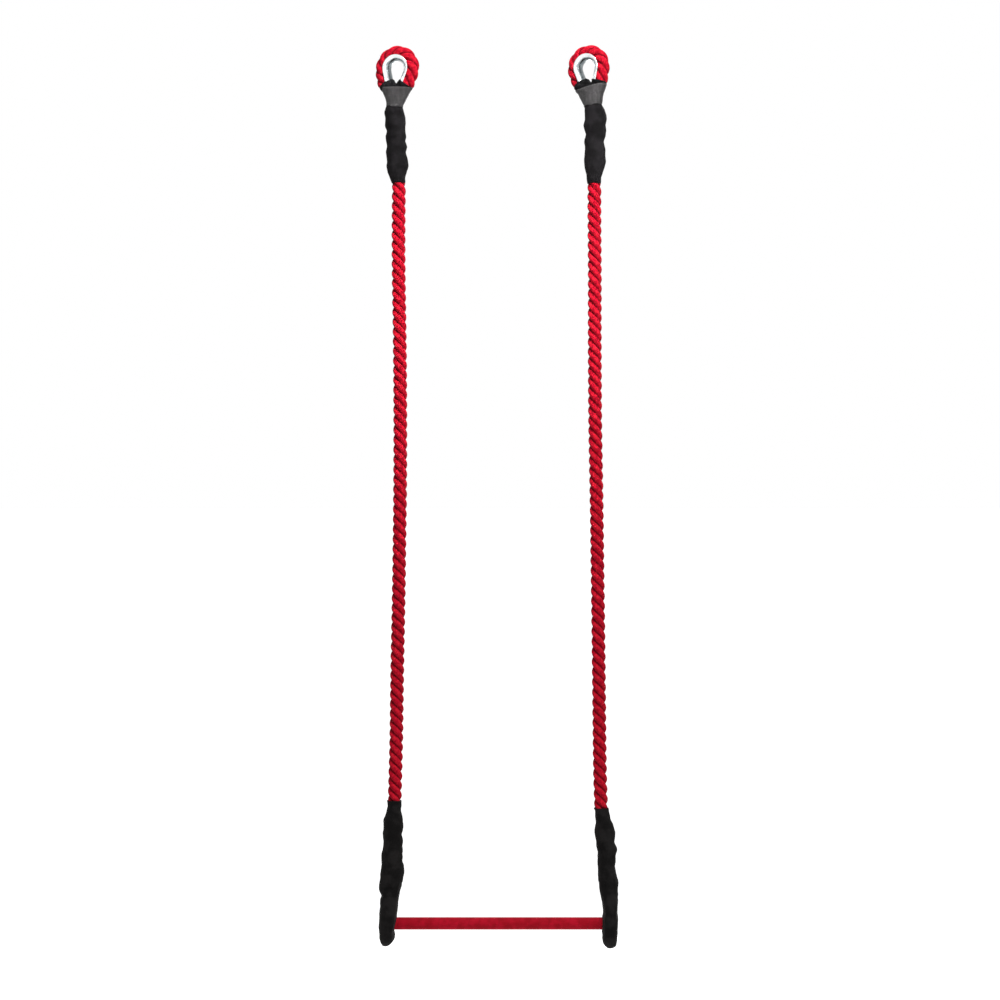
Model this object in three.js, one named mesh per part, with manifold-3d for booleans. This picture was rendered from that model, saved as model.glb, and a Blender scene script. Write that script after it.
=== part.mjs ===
// Static trapeze: two three-strand cotton ropes, each spliced round a steel thimble at its
// top and round the end of a taped steel bar at its bottom, with fabric covers over the
// splices. Millimetres, +Z up, X along the bar. The origin is over the middle of the bar,
// level with the insides of the tops of the two eyes, on the line that the trapeze hangs
// from.

import * as THREE from 'three';
import { mergeVertices } from 'three/addons/utils/BufferGeometryUtils.js';
import Module from 'manifold-3d';

const wasm = await Module();
wasm.setup();

// Rope
const rope_diameter = 33;
const core_diameter = 10;
const rope_sides = 12;
const rope_steps = 22;

// Heights, measured down from the tops of the eyes
const neck_drop = 109;
const rope_exit_drop = 289;
const cover_mouth_drop = 1783;
const bar_drop = 2068;

// How far each part of a side stands out from the middle, and how each eye is turned and
// leans, in degrees
const left_neck_reach = 248;
const right_neck_reach = 227;
const left_exit_reach = 239;
const right_exit_reach = 231;
const cover_mouth_reach = 248;
const loop_reach = 265.8;
const left_yaw = -20;
const right_yaw = -28;
const left_lean = 4;
const right_lean = -5;

// The bow of each rope towards the middle, and its shape: shares of the way down the free
// rope, and of the bow
const left_bow = 9;
const right_bow = 3.8;
const bow_shares = [
  [0, 0], [0.03, 0], [0.08, 0.05], [0.14, 0.2], [0.2, 0.45], [0.28, 0.72], [0.38, 0.95],
  [0.475, 1], [0.575, 0.9], [0.675, 0.73], [0.775, 0.53], [0.85, 0.36], [0.92, 0.17],
  [0.97, 0.04], [1, 0],
];

// Thimble
const eye_width = 36.3;
const eye_taper = 32.7;
const thimble_wall = 3;
const thimble_wrap = 76;
const thimble_point_gap = 1;
const thimble_steps = 21;
const thimble_segments = 5;

// Wrappings at the throat of each eye
const seizing_wall = 1.2;
const cloth_wall = 0.8;
const tape_wall = 0.8;
const cloth_top_drop = 54;
const tape_overlap = 3;
const seizing_inset = 4;
const throat_length_shares = [0, 0.13, 0.28, 0.43, 0.6, 0.78, 1];
const throat_width_shares = [1, 0.84, 0.6, 0.42, 0.28, 0.11, 0];
const wrap_taper = 10;

// Sleeve over the eye splice
const sleeve_diameter = 47;
const sleeve_wall = 1.4;
const collar_length = 9;
const collar_flare = 3.5;
const sleeve_length_shares = [0.12, 0.35, 0.55, 0.72, 0.84, 0.93];
const sleeve_width_shares = [0.97, 0.985, 1, 1.08, 1.04, 0.9];

// Rope loop round the bar, and the splice above it
const loop_taper = 18;
const loop_steps = 20;
const fork_height = 58;
const splice_width = 37.6;
const splice_width_shares = [0.95, 1, 1, 1, 1, 1, 0.93];
const splice_depth_shares = [0.955, 1.01, 1.03, 1.05, 1.08, 1.13, 1.42];

// Cover over the lower splice and the loop, and the padding under it
const cover_wall = 1.6;
const cover_slack = 1.2;
const cover_width = 50;
const cover_length_shares = [0.08, 0.2, 0.35, 0.5, 0.65, 0.78, 0.9];
const cover_width_shares = [0.8, 0.91, 0.92, 0.93, 0.96, 1, 0.905];
const cover_depth_shares = [0.81, 0.92, 0.94, 0.97, 1.03, 1.1, 1.27];
const cover_drift_shares = [0.1, 0.28, 0.36, 0.45, 0.52, 0.7, 0.9];
const cover_leg_shares = [1, 0.72, 0.45, 0.2];
const cover_base_angles = [0, 20, 40, 55, 68, 80, 87];
const padding_length_shares = [0.2, 0.35, 0.5, 0.65, 0.78, 0.88];

// Bar, and what is on its ends
const tube_diameter = 25.4;
const tube_wall = 3;
const tape_thickness = 1;
const chafe_wall = 4;
const washer_diameter = 40;
const washer_thickness = 2.5;
const plug_length = 30;
const bolt_diameter = 8;
const bolt_length = 24;
const bolt_head_diameter = 14;
const bolt_head_height = 2.4;
const bar_sides = 24;

// Joints: how far the trapeze swings and how far its ropes lean to either side, in degrees,
// and the room that is left for it
const swing_limit = 45;
const skirt_margin = 1.4;
const sway_limit = 20;
const nose_margin = 1.5;
const mouth_gap = 0.44;
const loop_play = 2;

// Clearances
const fit_gap = 0.3;
const turn_gap = 0.4;
const wrap_gap = 0.6;
const hole_gap = 0.8;
const cut_overrun = 10;

const ring_sides = 16;
const dome_rings = 4;
const small_flat = 1;
const same_share = 1e-9;
const same_point = 1e-4;

const degree = Math.PI / 180;
const rope_radius = rope_diameter / 2;
const between = THREE.MathUtils.lerp;

// What a profile of shares and values gives at one share along it
function valueAt(shares, values, share) {
  const row = Math.max(1, shares.findIndex((s) => s >= share - same_share));
  const local = (share - shares[row - 1]) / (shares[row] - shares[row - 1]);
  return between(values[row - 1], values[row], local);
}

const finishes = {
  rope: { color: 0xb8142c, roughness: 0.95, metalness: 0 },
  core: { color: 0xd8d2c4, roughness: 0.8, metalness: 0 },
  zinc: { color: 0xd9dcde, roughness: 0.28, metalness: 1 },
  twine: { color: 0x1d1b1b, roughness: 0.9, metalness: 0 },
  cloth: { color: 0x191717, roughness: 0.92, metalness: 0 },
  tape: { color: 0x535152, roughness: 0.45, metalness: 0 },
  padding: { color: 0x3b3a3c, roughness: 0.95, metalness: 0 },
  leather: { color: 0x5a3a26, roughness: 0.7, metalness: 0 },
  steel: { color: 0x8f9296, roughness: 0.4, metalness: 1 },
  plug: { color: 0x1c1c1e, roughness: 0.5, metalness: 0 },
  grip: { color: 0x9a0c26, roughness: 0.75, metalness: 0 },
};

function named(name, geometry, finish) {
  const mesh = new THREE.Mesh(geometry, new THREE.MeshStandardMaterial(finishes[finish]));
  mesh.name = name;
  return mesh;
}

// A level ring of points round (x, 0, z), with round ends whichever way it is longer. The
// tilt turns it in the XZ plane.
function ring(x, z, half_width, half_depth, tilt = 0) {
  const corner = Math.min(half_width, half_depth);
  const points = [];
  for (let i = 0; i < ring_sides; i++) {
    const angle = ((i + 0.5) / ring_sides) * 2 * Math.PI;
    const across = Math.cos(angle) * corner + Math.sign(Math.cos(angle)) * (half_width - corner);
    const deep = Math.sin(angle) * corner + Math.sign(Math.sin(angle)) * (half_depth - corner);
    points.push([x + across * Math.cos(tilt), deep, z - across * Math.sin(tilt)]);
  }
  return points;
}

// One closed surface over rings that run downwards. A shell's rings come back up on its
// inside to the first one; any other skin has a flat cap at both ends.
function skin(rings, shell = false) {
  const faces = [];
  const bands = shell ? rings.length : rings.length - 1;
  for (let r = 0; r < bands; r++) {
    const upper = r * ring_sides;
    const lower = ((r + 1) % rings.length) * ring_sides;
    for (let i = 0; i < ring_sides; i++) {
      const j = (i + 1) % ring_sides;
      faces.push(upper + i, lower + i, lower + j, upper + i, lower + j, upper + j);
    }
  }
  const last = (rings.length - 1) * ring_sides;
  for (let i = 1; i < ring_sides - 1 && !shell; i++) {
    faces.push(0, i, i + 1, last, last + i + 1, last + i);
  }
  const geometry = new THREE.BufferGeometry();
  geometry.setAttribute('position', new THREE.Float32BufferAttribute(rings.flat(2), 3));
  geometry.setIndex(faces);
  geometry.computeVertexNormals();
  return geometry;
}

function shell(outer, inner) {
  return skin([...outer, ...inner.reverse()], true);
}

function solidOf(geometry) {
  const bare = geometry.clone();
  bare.deleteAttribute('normal');
  bare.deleteAttribute('uv');
  const merged = mergeVertices(bare, same_point);
  return new wasm.Manifold(new wasm.Mesh({
    numProp: 3,
    vertProperties: new Float32Array(merged.attributes.position.array),
    triVerts: new Uint32Array(merged.index.array),
  }));
}

function geometryOf(solid) {
  const mesh = solid.getMesh();
  const geometry = new THREE.BufferGeometry();
  geometry.setAttribute('position', new THREE.BufferAttribute(mesh.vertProperties, 3));
  geometry.setIndex(new THREE.BufferAttribute(mesh.triVerts, 1));
  geometry.computeVertexNormals();
  return geometry;
}

// A teardrop in the XZ plane: an arc over its centre, and two straight legs that draw
// together below it.
class Teardrop extends THREE.Curve {
  constructor(radius, taper, leg) {
    super();
    this.radius = radius;
    this.turn = Math.PI / 2 + taper;
    this.leg = leg;
  }

  get reach() {
    return this.radius * this.turn + this.leg;
  }

  getPoint(t, target = new THREE.Vector3()) {
    const along = (2 * t - 1) * this.reach;
    const arc = Math.min(Math.abs(along) / this.radius, this.turn);
    const straight = Math.max(Math.abs(along) - this.radius * this.turn, 0);
    const x = this.radius * Math.sin(arc) + straight * Math.cos(arc);
    const z = this.radius * Math.cos(arc) - straight * Math.sin(arc);
    return target.set(Math.sign(along) * x, 0, z);
  }
}

function polygon(radius, sides) {
  const points = [];
  for (let i = 0; i < sides; i++) {
    const angle = ((i + 0.5) / sides) * 2 * Math.PI;
    points.push(new THREE.Vector2(radius * Math.cos(angle), radius * Math.sin(angle)));
  }
  return points;
}

function sweep(shape, path, steps) {
  return new THREE.ExtrudeGeometry(shape, { steps, extrudePath: path, bevelEnabled: false });
}

// A turned piece with its axis along X: the outline is [radius, x] points, and it closes on
// itself or starts and ends on the axis.
function turned(outline) {
  const points = outline.map(([radius, x]) => new THREE.Vector2(radius, x));
  return new THREE.LatheGeometry(points, bar_sides).rotateZ(-Math.PI / 2);
}

// The half-width, from its middle to the outside of a leg, of a rope bent round a teardrop
function legReach(radius, taper, rope, below) {
  const apart = (radius / Math.sin(taper) - below) * Math.tan(taper);
  return apart + rope / Math.cos(taper);
}

// Sizes of the eye, worked out from the rope and the thimble
const taper = eye_taper * degree;
const half_segment = (thimble_wrap * degree) / thimble_segments;
const groove_radius = (rope_radius + fit_gap) / Math.cos(half_segment);
const thimble_radius = groove_radius + thimble_wall;
const bearing = thimble_radius * Math.cos(half_segment);
const eye_radius = eye_width / 2 + bearing;
const eye_centre_drop = eye_width / 2;
const point_spread = bearing * Math.cos(taper) + thimble_point_gap / 2;
const thimble_leg = eye_radius / Math.tan(taper) - point_spread / Math.sin(taper);
const throat_top_drop =
  eye_centre_drop + eye_radius / Math.sin(taper) - point_spread / Math.tan(taper);
const throat_reach = legReach(eye_radius, taper, rope_radius, throat_top_drop - eye_centre_drop);
const thimble_half_depth = thimble_radius * Math.sin(thimble_wrap * degree);

// Sizes at the joints
const swing = swing_limit * degree;
const sway = sway_limit * degree;
const mouth_radius = rope_radius / Math.cos(sway) + mouth_gap;
const nose_height = (mouth_radius - fit_gap) * Math.tan(sway + nose_margin * degree);
const nose_gap = fit_gap + small_flat * Math.tan(sway);
const under_cloth = wrap_gap + seizing_wall + fit_gap;
const dome_radius = (rope_radius + under_cloth) * Math.cos(Math.PI / ring_sides) - fit_gap;
const skirt_rise = (dome_radius / Math.cos(swing) - dome_radius) / Math.tan(swing) + skirt_margin;
const swing_drop = neck_drop + skirt_rise;
const throat_end_drop = swing_drop - dome_radius - fit_gap;

// Sizes of the loop round the bar
const tube_radius = tube_diameter / 2;
const chafe_bore = tube_radius + turn_gap;
const chafe_radius = chafe_bore + chafe_wall;
const bend_radius = chafe_radius + wrap_gap + rope_radius;
const bend_taper = loop_taper * degree;
const washer_radius = washer_diameter / 2;
const washer_seat = Math.sqrt(rope_radius ** 2 - (bend_radius - washer_radius) ** 2);
const washer_reach = loop_reach + washer_seat + loop_play;
const tube_reach = washer_reach - fit_gap;
const tape_reach = loop_reach - rope_radius - loop_play;
const fork_drop = bar_drop - fork_height;

const sides = [
  {
    name: 'left', out: -1, neck: left_neck_reach, exit: left_exit_reach,
    yaw: left_yaw * degree, lean: left_lean * degree, bow: left_bow,
  },
  {
    name: 'right', out: 1, neck: right_neck_reach, exit: right_exit_reach,
    yaw: right_yaw * degree, lean: right_lean * degree, bow: right_bow,
  },
];

// Thimble: a galvanised steel channel bent to a teardrop, its groove facing out
function thimbleSection() {
  const wrap = thimble_wrap * degree;
  const points = [];
  for (let i = 0; i <= thimble_segments; i++) {
    const angle = Math.PI / 2 - wrap + 2 * half_segment * i;
    points.push([thimble_radius * Math.cos(angle), thimble_radius * Math.sin(angle)]);
  }
  for (let i = thimble_segments; i >= 0; i--) {
    const angle = Math.PI / 2 - wrap + 2 * half_segment * i;
    points.push([groove_radius * Math.cos(angle), groove_radius * Math.sin(angle)]);
  }
  return new THREE.Shape(points.map(([x, y]) => new THREE.Vector2(x, y)));
}

const thimble_path = new Teardrop(eye_radius, taper, thimble_leg);
const eye_step = (2 * thimble_path.reach) / thimble_steps;
const eye_path = new Teardrop(eye_radius, taper, thimble_leg + eye_step);

// Rings of the throat, in a frame that stands on the neck. The eye leans, and the throat's
// rings come level again towards the neck.
function throatRing(side, drop, grow, half_depth) {
  const height = neck_drop - drop;
  const length = neck_drop - throat_top_drop;
  const tilt = side.lean * Math.min(1, height / length);
  let half_width = legReach(eye_radius, taper, rope_radius, drop - eye_centre_drop);
  if (drop > throat_top_drop) {
    const share = (drop - throat_top_drop) / length;
    const width_share = valueAt(throat_length_shares, throat_width_shares, share);
    half_width = between(rope_radius, throat_reach, width_share);
  }
  const x = height * Math.sin(side.lean);
  const z = height * Math.cos(side.lean) - neck_drop;
  return ring(x, z, half_width + grow, half_depth + grow, tilt);
}

function throatDrops(from, to) {
  const length = neck_drop - throat_top_drop;
  const rows = throat_length_shares.map((share) => throat_top_drop + share * length);
  return [from, ...rows.filter((drop) => drop > from + fit_gap && drop < to - fit_gap), to];
}

// A wrapping's own depth: it clears the thimble's rims above the throat
function wrapDepth(drop) {
  const share = THREE.MathUtils.clamp((drop - throat_top_drop) / wrap_taper, 0, 1);
  return between(thimble_half_depth, rope_radius, share);
}

function throatWrap(side, from, to, inside, wall) {
  const drops = throatDrops(from, to);
  const outer = drops.map((drop) => throatRing(side, drop, inside + wall, wrapDepth(drop)));
  const inner = drops.map((drop) => throatRing(side, drop, inside, wrapDepth(drop)));
  return shell(outer, inner);
}

// Rope eye: the end of the rope laid round the thimble and back on itself at the throat
function ropeEye(side) {
  const bend = sweep(new THREE.Shape(polygon(rope_radius, rope_sides)), eye_path, thimble_steps + 2);
  bend.translate(0, 0, neck_drop - eye_centre_drop);
  bend.rotateY(side.lean);
  bend.translate(0, 0, -neck_drop);
  const drops = throatDrops(throat_top_drop, throat_end_drop);
  const throat = skin(drops.map((drop) => throatRing(side, drop, 0, rope_radius)));
  return geometryOf(solidOf(bend).add(solidOf(throat)));
}

function eye(side) {
  const group = new THREE.Group();
  group.position.x = side.out * side.neck;
  group.rotation.z = side.yaw;

  const leaning = new THREE.Group();
  leaning.position.z = -neck_drop;
  leaning.rotation.y = side.lean;
  const section = thimbleSection();
  const thimble = named(`${side.name}_thimble`, sweep(section, thimble_path, thimble_steps), 'zinc');
  thimble.position.z = neck_drop - eye_centre_drop;
  leaning.add(thimble);

  const seizing_top = throat_top_drop + seizing_inset;
  const under_tape = under_cloth + cloth_wall + fit_gap;
  const tape_top = throat_top_drop - tape_overlap;
  const seizing = throatWrap(side, seizing_top, throat_end_drop, wrap_gap, seizing_wall);
  const cloth = throatWrap(side, cloth_top_drop, neck_drop, under_cloth, cloth_wall);
  const tape = throatWrap(side, tape_top, neck_drop, under_tape, tape_wall);
  group.add(
    leaning,
    named(`${side.name}_rope_eye`, ropeEye(side), 'rope'),
    named(`${side.name}_throat_seizing`, seizing, 'twine'),
    named(`${side.name}_throat_cloth`, cloth, 'cloth'),
    named(`${side.name}_throat_tape`, tape, 'tape'),
  );
  return group;
}

// Upper splice and its sleeve. Both start in a dome about the point that the trapeze swings
// on, and end where the free rope begins.
function sleeveRings(side, inset) {
  const rings = [];
  const dome = dome_radius - inset;
  const crown = Math.asin(small_flat / dome);
  for (let i = 0; i <= dome_rings; i++) {
    const angle = Math.max(crown, (i / dome_rings) * (Math.PI / 2));
    const z = dome * Math.cos(angle) - swing_drop;
    rings.push(ring(side.out * side.neck, z, dome * Math.sin(angle), dome * Math.sin(angle)));
  }
  const length = rope_exit_drop - nose_height - swing_drop;
  const full = sleeve_diameter / 2;
  const rows = [
    [collar_length / length, dome_radius],
    [(collar_length + collar_flare) / length, (dome_radius + full) / 2],
    ...sleeve_length_shares.map((share, i) => [share, full * sleeve_width_shares[i]]),
  ];
  for (const [share, radius] of rows) {
    const x = side.out * between(side.neck, side.exit, share);
    rings.push(ring(x, -swing_drop - share * length, radius - inset, radius - inset));
  }
  return rings;
}

function upperSleeve(side) {
  const x = side.out * side.exit;
  const nose_z = nose_height - rope_exit_drop;
  const mouth = mouth_radius + sleeve_wall;
  const outer = [
    ...sleeveRings(side, 0),
    ring(x, nose_z, mouth, mouth),
    ring(x, -rope_exit_drop, mouth, mouth),
  ];
  const inner = [
    ...sleeveRings(side, sleeve_wall),
    ring(x, nose_z, mouth_radius, mouth_radius),
    ring(x, -rope_exit_drop, mouth_radius, mouth_radius),
  ];
  return shell(outer, inner);
}

function upperSplice(side) {
  const x = side.out * side.exit;
  const nose = mouth_radius - fit_gap;
  const rings = [
    ...sleeveRings(side, sleeve_wall + fit_gap),
    ring(x, nose_height + fit_gap - rope_exit_drop, nose, nose),
    ring(x, nose_gap - rope_exit_drop, small_flat, small_flat),
  ];
  return skin(rings);
}

// Free rope, between the mouths of the upper sleeve and the lower cover
function ropePath(side) {
  const points = bow_shares.map(([down, bow]) => {
    const chord = between(side.exit, cover_mouth_reach, down);
    const z = -between(rope_exit_drop, cover_mouth_drop, down);
    return new THREE.Vector3(side.out * (chord - bow * side.bow), 0, z);
  });
  return new THREE.CatmullRomCurve3(points, false, 'centripetal');
}

function freeRope(side) {
  const shape = new THREE.Shape(polygon(rope_radius, rope_sides));
  shape.holes.push(new THREE.Path(polygon(core_diameter / 2 + fit_gap, rope_sides)));
  return sweep(shape, ropePath(side), rope_steps);
}

function ropeCore(side) {
  const shape = new THREE.Shape(polygon(core_diameter / 2, rope_sides));
  return sweep(shape, ropePath(side), rope_steps);
}

// Lower splice, loop, padding and cover follow one line that drifts outwards
function drift(side, share) {
  const shares = [0, ...cover_length_shares, 1];
  const drift_share = valueAt(shares, [0, ...cover_drift_shares, 1], share);
  return side.out * between(cover_mouth_reach, loop_reach, drift_share);
}

function coverDrop(share) {
  return between(cover_mouth_drop, fork_drop, share);
}

function coverRing(side, share, inset) {
  const shares = [0, ...cover_length_shares, 1];
  const mouth = mouth_radius + cover_wall;
  const fork = loopSection(fork_height, cover_slack + cover_wall);
  const widths = [mouth, ...cover_width_shares.map((s) => (s * cover_width) / 2), fork.half_width];
  const depths = [mouth, ...cover_depth_shares.map((s) => (s * cover_width) / 2), fork.half_depth];
  const half_width = valueAt(shares, widths, share) - inset;
  const half_depth = valueAt(shares, depths, share) - inset;
  return ring(drift(side, share), -coverDrop(share), half_width, half_depth);
}

// The section of the bent rope, grown by a margin, at a height over the bar's axis
function loopSection(height, grow) {
  const rope = rope_radius + grow;
  const tangent = bend_radius * Math.sin(bend_taper);
  const half_depth = height > tangent
    ? legReach(bend_radius, bend_taper, rope, height)
    : Math.sqrt((bend_radius + rope) ** 2 - height ** 2);
  const past_bend = Math.max(0, -height - bend_radius);
  return { half_width: Math.sqrt(rope ** 2 - past_bend ** 2), half_depth };
}

function coverWallRings(side, inset) {
  const grow = cover_slack + cover_wall - inset;
  const x = side.out * loop_reach;
  const outer_radius = bend_radius + rope_radius + grow;
  const upper = [0, ...cover_length_shares].map((share) => coverRing(side, share, inset));
  const legs = cover_leg_shares.map((share) => share * fork_height);
  const base = cover_base_angles.map((angle) => -outer_radius * Math.sin(angle * degree));
  const lower = [...legs, ...base].map((height) => {
    const { half_width, half_depth } = loopSection(height, grow);
    return ring(x, height - bar_drop, half_width, half_depth);
  });
  return [...upper, ...lower];
}

// The cover is a bag: open where the rope enters, closed under the loop and over the bar's
// end, with a hole for the bar on its inner side
function lowerCover(side) {
  const outer = coverWallRings(side, 0);
  const inner = coverWallRings(side, cover_wall);
  const outside = skin(outer);
  const rim = mouth_radius;
  const above = ring(side.out * cover_mouth_reach, cut_overrun - cover_mouth_drop, rim, rim);
  const inside = skin([above, ...inner]);
  const hole_radius = tube_radius + fit_gap + tape_thickness + hole_gap;
  const hole = turned([[0, 0], [hole_radius, 0], [hole_radius, loop_reach], [0, loop_reach]]);
  if (side.out < 0) hole.rotateZ(Math.PI);
  hole.translate(0, 0, -bar_drop);
  return geometryOf(solidOf(outside).subtract(solidOf(inside)).subtract(solidOf(hole)));
}

function barLoop(side) {
  const leg = (bend_radius / Math.sin(bend_taper) - fork_height) / Math.cos(bend_taper);
  const full_leg = bend_radius / Math.tan(bend_taper);
  const path = new Teardrop(bend_radius, bend_taper, full_leg - leg);
  const bend = sweep(new THREE.Shape(polygon(rope_radius, rope_sides)), path, loop_steps);
  bend.rotateX(Math.PI).rotateZ(Math.PI / 2);
  bend.translate(side.out * loop_reach, 0, -bar_drop);

  const nose = mouth_radius - fit_gap;
  const nose_share = (fit_gap + nose_height) / (fork_drop - cover_mouth_drop);
  const fork = loopSection(fork_height, 0);
  const rings = [
    ring(side.out * cover_mouth_reach, -cover_mouth_drop - nose_gap, small_flat, small_flat),
    ring(drift(side, nose_share), -coverDrop(nose_share), nose, nose),
    ...cover_length_shares.map((share) => spliceRing(side, share, 0)),
    ring(side.out * loop_reach, -fork_drop - rope_radius / 2, fork.half_width, fork.half_depth),
  ];
  return geometryOf(solidOf(bend).add(solidOf(skin(rings))));
}

function spliceRing(side, share, grow) {
  const width_share = valueAt(cover_length_shares, splice_width_shares, share);
  const depth_share = valueAt(cover_length_shares, splice_depth_shares, share);
  const half_width = (width_share * splice_width) / 2 + grow;
  const half_depth = (depth_share * splice_width) / 2 + grow;
  return ring(drift(side, share), -coverDrop(share), half_width, half_depth);
}

function splicePadding(side) {
  const inset = cover_wall + fit_gap;
  const outer = padding_length_shares.map((share) => coverRing(side, share, inset));
  const inner = padding_length_shares.map((share) => spliceRing(side, share, wrap_gap));
  return shell(outer, inner);
}

// Chafe sleeve: a leather liner between the bar and the rope's bend
function chafeSleeve() {
  const inner = loop_reach - rope_radius;
  const outer = loop_reach + washer_seat;
  return turned([
    [chafe_bore, inner], [chafe_radius, inner], [chafe_radius, outer], [chafe_bore, outer],
    [chafe_bore, inner],
  ]);
}

// End fittings: a threaded plug in the tube, and a bolt that clamps a washer on its end
function endPlug() {
  const radius = tube_radius - tube_wall - fit_gap;
  const bore = bolt_diameter / 2 + fit_gap;
  const inner = tube_reach - plug_length;
  return turned([
    [bore, inner], [radius, inner], [radius, tube_reach], [bore, tube_reach], [bore, inner],
  ]);
}

function endWasher() {
  const bore = bolt_diameter / 2 + fit_gap;
  const outer = washer_reach + washer_thickness;
  return turned([
    [bore, washer_reach], [washer_radius, washer_reach], [washer_radius, outer], [bore, outer],
    [bore, washer_reach],
  ]);
}

function endBolt() {
  const seat = washer_reach + washer_thickness + fit_gap;
  const tip = seat - bolt_length;
  const end = seat + bolt_head_height;
  const shank = bolt_diameter / 2;
  const head = bolt_head_diameter / 2;
  return turned([[0, tip], [shank, tip], [shank, seat], [head, seat], [head, end], [0, end]]);
}

// A piece that is made for the right end of the bar, turned about to fit the left one
function atEnd(side, mesh) {
  mesh.position.z = -bar_drop;
  if (side.out < 0) mesh.rotation.z = Math.PI;
  return mesh;
}

function sideOf(side) {
  const group = new THREE.Group();
  group.add(
    eye(side),
    named(`${side.name}_upper_splice`, upperSplice(side), 'rope'),
    named(`${side.name}_upper_sleeve`, upperSleeve(side), 'cloth'),
    named(`${side.name}_rope`, freeRope(side), 'rope'),
    named(`${side.name}_rope_core`, ropeCore(side), 'core'),
    named(`${side.name}_bar_loop`, barLoop(side), 'rope'),
    named(`${side.name}_splice_padding`, splicePadding(side), 'padding'),
    named(`${side.name}_lower_cover`, lowerCover(side), 'cloth'),
    atEnd(side, named(`${side.name}_chafe_sleeve`, chafeSleeve(), 'leather')),
    atEnd(side, named(`${side.name}_end_plug`, endPlug(), 'plug')),
    atEnd(side, named(`${side.name}_end_washer`, endWasher(), 'steel')),
    atEnd(side, named(`${side.name}_end_bolt`, endBolt(), 'steel')),
  );
  return group;
}

// Bar: a steel tube, wrapped in grip tape between the covers
function bar() {
  const group = new THREE.Group();
  group.position.z = -bar_drop;
  const bore = tube_radius - tube_wall;
  const tube = turned([
    [bore, -tube_reach], [tube_radius, -tube_reach], [tube_radius, tube_reach],
    [bore, tube_reach], [bore, -tube_reach],
  ]);
  const tape_inside = tube_radius + fit_gap;
  const tape_outside = tape_inside + tape_thickness;
  const tape = turned([
    [tape_inside, -tape_reach], [tape_outside, -tape_reach], [tape_outside, tape_reach],
    [tape_inside, tape_reach], [tape_inside, -tape_reach],
  ]);
  group.add(named('bar_tube', tube, 'steel'), named('bar_tape', tape, 'grip'));
  return group;
}

const trapeze = new THREE.Group();
trapeze.add(...sides.map(sideOf), bar());

export default trapeze;
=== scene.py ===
from math import atan2, ceil, cos, exp, floor, hypot, pi, radians, sin, sqrt

import bmesh
import bpy
import numpy as np
from mathutils import Matrix, Vector, noise


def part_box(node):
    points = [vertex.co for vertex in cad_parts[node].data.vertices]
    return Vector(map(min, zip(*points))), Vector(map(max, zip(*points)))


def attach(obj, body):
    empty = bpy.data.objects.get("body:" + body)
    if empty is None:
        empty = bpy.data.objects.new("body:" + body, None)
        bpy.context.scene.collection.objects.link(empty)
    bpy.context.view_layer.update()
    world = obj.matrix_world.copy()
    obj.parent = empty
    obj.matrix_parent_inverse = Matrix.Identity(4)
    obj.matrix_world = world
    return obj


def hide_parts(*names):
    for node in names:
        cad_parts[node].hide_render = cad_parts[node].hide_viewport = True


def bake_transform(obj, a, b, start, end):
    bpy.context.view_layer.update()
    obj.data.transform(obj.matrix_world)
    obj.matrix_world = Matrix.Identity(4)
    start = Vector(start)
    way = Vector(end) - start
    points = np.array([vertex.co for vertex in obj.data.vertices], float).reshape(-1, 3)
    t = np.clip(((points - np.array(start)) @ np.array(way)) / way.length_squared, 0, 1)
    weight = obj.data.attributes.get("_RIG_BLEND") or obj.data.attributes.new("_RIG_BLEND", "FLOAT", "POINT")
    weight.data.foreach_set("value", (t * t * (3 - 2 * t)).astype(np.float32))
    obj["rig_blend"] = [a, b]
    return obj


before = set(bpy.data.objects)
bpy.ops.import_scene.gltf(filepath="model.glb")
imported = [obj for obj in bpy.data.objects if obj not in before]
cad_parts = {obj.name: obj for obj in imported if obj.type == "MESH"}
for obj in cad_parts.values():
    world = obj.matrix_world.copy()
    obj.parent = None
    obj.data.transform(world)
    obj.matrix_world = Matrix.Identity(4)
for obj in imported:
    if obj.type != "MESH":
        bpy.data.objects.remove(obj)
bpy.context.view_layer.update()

scene = bpy.context.scene


# Camera: level, square on to the bar and half way down the trapeze, far enough away that the
# ropes look parallel.
camera = bpy.data.objects.new("camera", bpy.data.cameras.new("camera"))
camera.data.lens = 90
camera.data.sensor_width = 36
camera.location = (0.0048, -6, -1.0519)
camera.rotation_euler = (pi / 2, 0, 0)
scene.collection.objects.link(camera)
scene.camera = camera


# Free ropes: soft cotton, three fat strands laid left-handed, dyed red. Each rope's strands
# are spun down from one lobed outline, then drawn along its own slight bow.
class Number:
    """A number that a material works out on its surface, with the sums that it needs."""

    def __init__(self, finish, socket):
        self.finish = finish
        self.socket = socket

    def sum(self, operation, *parts, clamp=False):
        settings = {"operation": operation, "use_clamp": clamp}
        return self.finish.node("ShaderNodeMath", settings, dict(enumerate(parts)))

    def __add__(self, other):
        return self.sum("ADD", self, other)

    def __radd__(self, other):
        return self.sum("ADD", other, self)

    def __sub__(self, other):
        return self.sum("SUBTRACT", self, other)

    def __rsub__(self, other):
        return self.sum("SUBTRACT", other, self)

    def __mul__(self, other):
        return self.sum("MULTIPLY", self, other)

    def __rmul__(self, other):
        return self.sum("MULTIPLY", other, self)

    def __truediv__(self, other):
        return self.sum("DIVIDE", self, other)

    def __abs__(self):
        return self.sum("ABSOLUTE", self)

    def wave(self):
        return self.sum("SINE", self)

    def part(self):
        return self.sum("FRACT", self)

    def between(self, low, high):
        """0 below low, 1 above high, and smooth in between."""
        settings = {"interpolation_type": "SMOOTHSTEP"}
        return self.finish.node("ShaderNodeMapRange", settings, {0: self, 1: low, 2: high})


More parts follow.
